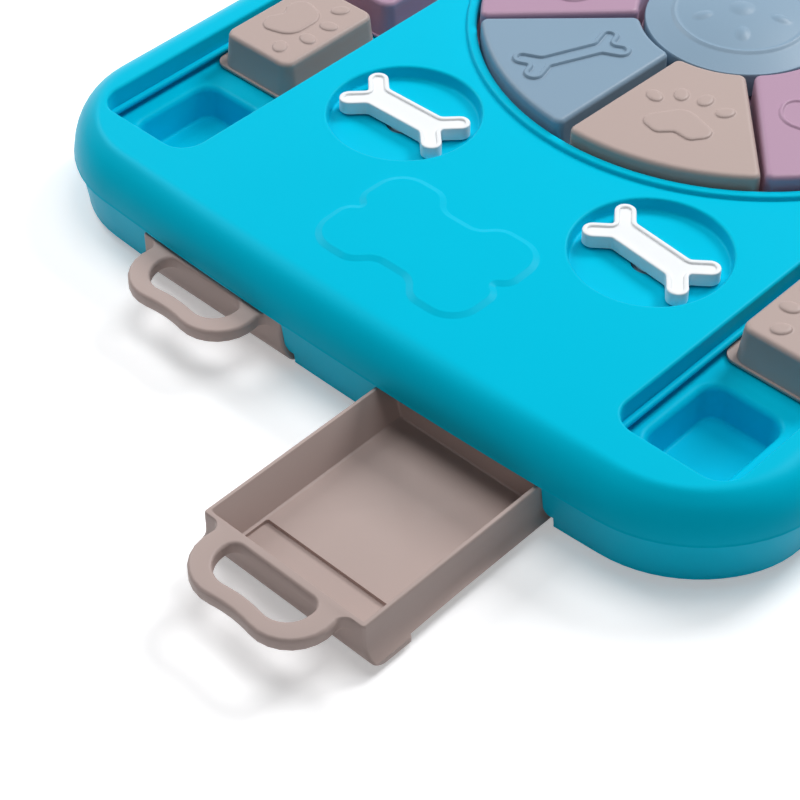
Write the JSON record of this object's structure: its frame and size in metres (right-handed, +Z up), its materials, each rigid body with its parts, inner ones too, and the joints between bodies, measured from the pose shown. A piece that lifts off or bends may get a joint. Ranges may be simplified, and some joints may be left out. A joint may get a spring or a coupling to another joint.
{
  "type": "dog puzzle feeder toy",
  "caption": "Flat plastic treat puzzle board for dogs with pull-out drawers, turning bone locks, sliding pocket covers and a round wheel of turning covers about a centre knob.",
  "frame": {"origin": "centre of the board, on the plane that its feet rest on, at the underside of the centre foot", "axes": "+Z up; +Y along the board's length, away from the pair of front drawers; +X across the board"},
  "size_m": [0.314, 0.5486, 0.0464],
  "materials": {
    "turquoise_plastic": "satin",
    "taupe_plastic": "satin",
    "mauve_plastic": "satin",
    "slate_plastic": "satin",
    "white_plastic": "gloss",
    "rubber": "matt",
    "steel": "brushed"
  },
  "bodies": {
    "base": {"upper_shell": "turquoise_plastic", "wheel_rim": "turquoise_plastic", "channel_frame_front_left": "turquoise_plastic", "channel_frame_front_right": "turquoise_plastic", "channel_frame_back_left": "turquoise_plastic", "channel_frame_back_right": "turquoise_plastic", "lower_shell_floor": "turquoise_plastic", "lower_shell_walls": "turquoise_plastic", "lower_shell_posts": "turquoise_plastic", "drawer_guides": "turquoise_plastic", "tray_front_left": "turquoise_plastic", "tray_front_right": "turquoise_plastic", "tray_back_left": "turquoise_plastic", "tray_back_right": "turquoise_plastic", "pockets_front_left": "turquoise_plastic", "pockets_front_right": "turquoise_plastic", "pockets_back_left": "turquoise_plastic", "pockets_back_right": "turquoise_plastic", "wheel_tray": "turquoise_plastic", "case_screws": "steel", "rubber_feet": "rubber"},
    "knob": {"knob": "slate_plastic", "knob_screw": "steel"},
    "wheel_mauve_left": {"wheel_block_mauve_left": "mauve_plastic"},
    "wheel_slate_front": {"wheel_block_slate_front": "slate_plastic"},
    "wheel_taupe_front": {"wheel_block_taupe_front": "taupe_plastic"},
    "wheel_mauve_right": {"wheel_block_mauve_right": "mauve_plastic"},
    "wheel_slate_back": {"wheel_block_slate_back": "slate_plastic"},
    "wheel_taupe_back": {"wheel_block_taupe_back": "taupe_plastic"},
    "slider_front_left_taupe": {"slider_front_left_taupe": "taupe_plastic"},
    "slider_front_left_mauve": {"slider_front_left_mauve": "mauve_plastic"},
    "slider_front_right_taupe": {"slider_front_right_taupe": "taupe_plastic"},
    "slider_front_right_mauve": {"slider_front_right_mauve": "mauve_plastic"},
    "slider_back_left_taupe": {"slider_back_left_taupe": "taupe_plastic"},
    "slider_back_left_mauve": {"slider_back_left_mauve": "mauve_plastic"},
    "slider_back_right_taupe": {"slider_back_right_taupe": "taupe_plastic"},
    "slider_back_right_mauve": {"slider_back_right_mauve": "mauve_plastic"},
    "bone_front_left": {"bone_front_left": "white_plastic", "bone_lock_front_left": "slate_plastic", "bone_screw_front_left": "steel"},
    "bone_front_right": {"bone_front_right": "white_plastic", "bone_lock_front_right": "slate_plastic", "bone_screw_front_right": "steel"},
    "bone_back_left": {"bone_back_left": "white_plastic", "bone_lock_back_left": "slate_plastic", "bone_screw_back_left": "steel"},
    "bone_back_right": {"bone_back_right": "white_plastic", "bone_lock_back_right": "slate_plastic", "bone_screw_back_right": "steel"},
    "drawer_front_left": {"drawer_front_left": "taupe_plastic"},
    "drawer_front_right": {"drawer_front_right": "taupe_plastic"},
    "drawer_back_left": {"drawer_back_left": "taupe_plastic"},
    "drawer_back_right": {"drawer_back_right": "taupe_plastic"}
  },
  "joints": [
    {"name": "knob_spin", "type": "hinge", "parent": "base", "child": "knob", "pos_m": [0, 0, 0.034], "axis": [0, 0, 1], "continuous": true},
    {"name": "wheel_mauve_left_turn", "type": "hinge", "parent": "base", "child": "wheel_mauve_left", "pos_m": [0, 0, 0.03], "axis": [0, 0, 1], "range_deg": [-45, 0]},
    {"name": "wheel_slate_front_turn", "type": "hinge", "parent": "base", "child": "wheel_slate_front", "pos_m": [0, 0, 0.03], "axis": [0, 0, 1], "range_deg": [-45, 0]},
    {"name": "wheel_taupe_front_turn", "type": "hinge", "parent": "base", "child": "wheel_taupe_front", "pos_m": [0, 0, 0.03], "axis": [0, 0, 1], "range_deg": [0, 45]},
    {"name": "wheel_mauve_right_turn", "type": "hinge", "parent": "base", "child": "wheel_mauve_right", "pos_m": [0, 0, 0.03], "axis": [0, 0, 1], "range_deg": [0, 45]},
    {"name": "wheel_slate_back_turn", "type": "hinge", "parent": "base", "child": "wheel_slate_back", "pos_m": [0, 0, 0.03], "axis": [0, 0, 1], "range_deg": [-45, 0]},
    {"name": "wheel_taupe_back_turn", "type": "hinge", "parent": "base", "child": "wheel_taupe_back", "pos_m": [0, 0, 0.03], "axis": [0, 0, 1], "range_deg": [0, 45]},
    {"name": "slider_front_left_taupe_slide", "type": "slide", "parent": "base", "child": "slider_front_left_taupe", "axis": [0, -1, 0], "range_m": [0, 0.0524]},
    {"name": "slider_front_left_mauve_slide", "type": "slide", "parent": "base", "child": "slider_front_left_mauve", "axis": [0, -1, 0], "range_m": [0, 0.0524]},
    {"name": "slider_front_right_taupe_slide", "type": "slide", "parent": "base", "child": "slider_front_right_taupe", "axis": [0, -1, 0], "range_m": [0, 0.0524]},
    {"name": "slider_front_right_mauve_slide", "type": "slide", "parent": "base", "child": "slider_front_right_mauve", "axis": [0, -1, 0], "range_m": [0, 0.0524]},
    {"name": "slider_back_left_taupe_slide", "type": "slide", "parent": "base", "child": "slider_back_left_taupe", "axis": [0, -1, 0], "range_m": [0, 0.0524]},
    {"name": "slider_back_left_mauve_slide", "type": "slide", "parent": "base", "child": "slider_back_left_mauve", "axis": [0, -1, 0], "range_m": [-0.0524, 0]},
    {"name": "slider_back_right_taupe_slide", "type": "slide", "parent": "base", "child": "slider_back_right_taupe", "axis": [0, -1, 0], "range_m": [0, 0.0524]},
    {"name": "slider_back_right_mauve_slide", "type": "slide", "parent": "base", "child": "slider_back_right_mauve", "axis": [0, -1, 0], "range_m": [-0.0524, 0]},
    {"name": "bone_front_left_turn", "type": "hinge", "parent": "base", "child": "bone_front_left", "pos_m": [-0.0552, -0.1207, 0.0313], "axis": [0, 0, 1], "continuous": true},
    {"name": "bone_front_right_turn", "type": "hinge", "parent": "base", "child": "bone_front_right", "pos_m": [0.0552, -0.1207, 0.0313], "axis": [0, 0, 1], "continuous": true},
    {"name": "bone_back_left_turn", "type": "hinge", "parent": "base", "child": "bone_back_left", "pos_m": [-0.0552, 0.1207, 0.0313], "axis": [0, 0, 1], "continuous": true},
    {"name": "bone_back_right_turn", "type": "hinge", "parent": "base", "child": "bone_back_right", "pos_m": [0.0552, 0.1207, 0.0313], "axis": [0, 0, 1], "continuous": true},
    {"name": "drawer_front_left_slide", "type": "slide", "parent": "base", "child": "drawer_front_left", "axis": [0, -1, 0], "range_m": [0, 0.075]},
    {"name": "drawer_front_right_slide", "type": "slide", "parent": "base", "child": "drawer_front_right", "axis": [0, 1, 0], "range_m": [0, 0.075]},
    {"name": "drawer_back_left_slide", "type": "slide", "parent": "base", "child": "drawer_back_left", "axis": [0, 1, 0], "range_m": [0, 0.075]},
    {"name": "drawer_back_right_slide", "type": "slide", "parent": "base", "child": "drawer_back_right", "axis": [0, 1, 0], "range_m": [0, 0.075]}
  ],
  "couplings": [
    {"joint": "wheel_mauve_left_turn", "follows": "wheel_slate_front_turn", "ratio": 1},
    {"joint": "wheel_mauve_right_turn", "follows": "wheel_taupe_front_turn", "ratio": 1},
    {"joint": "slider_front_left_mauve_slide", "follows": "slider_front_left_taupe_slide", "ratio": 1},
    {"joint": "slider_front_right_mauve_slide", "follows": "slider_front_right_taupe_slide", "ratio": 1}
  ]
}
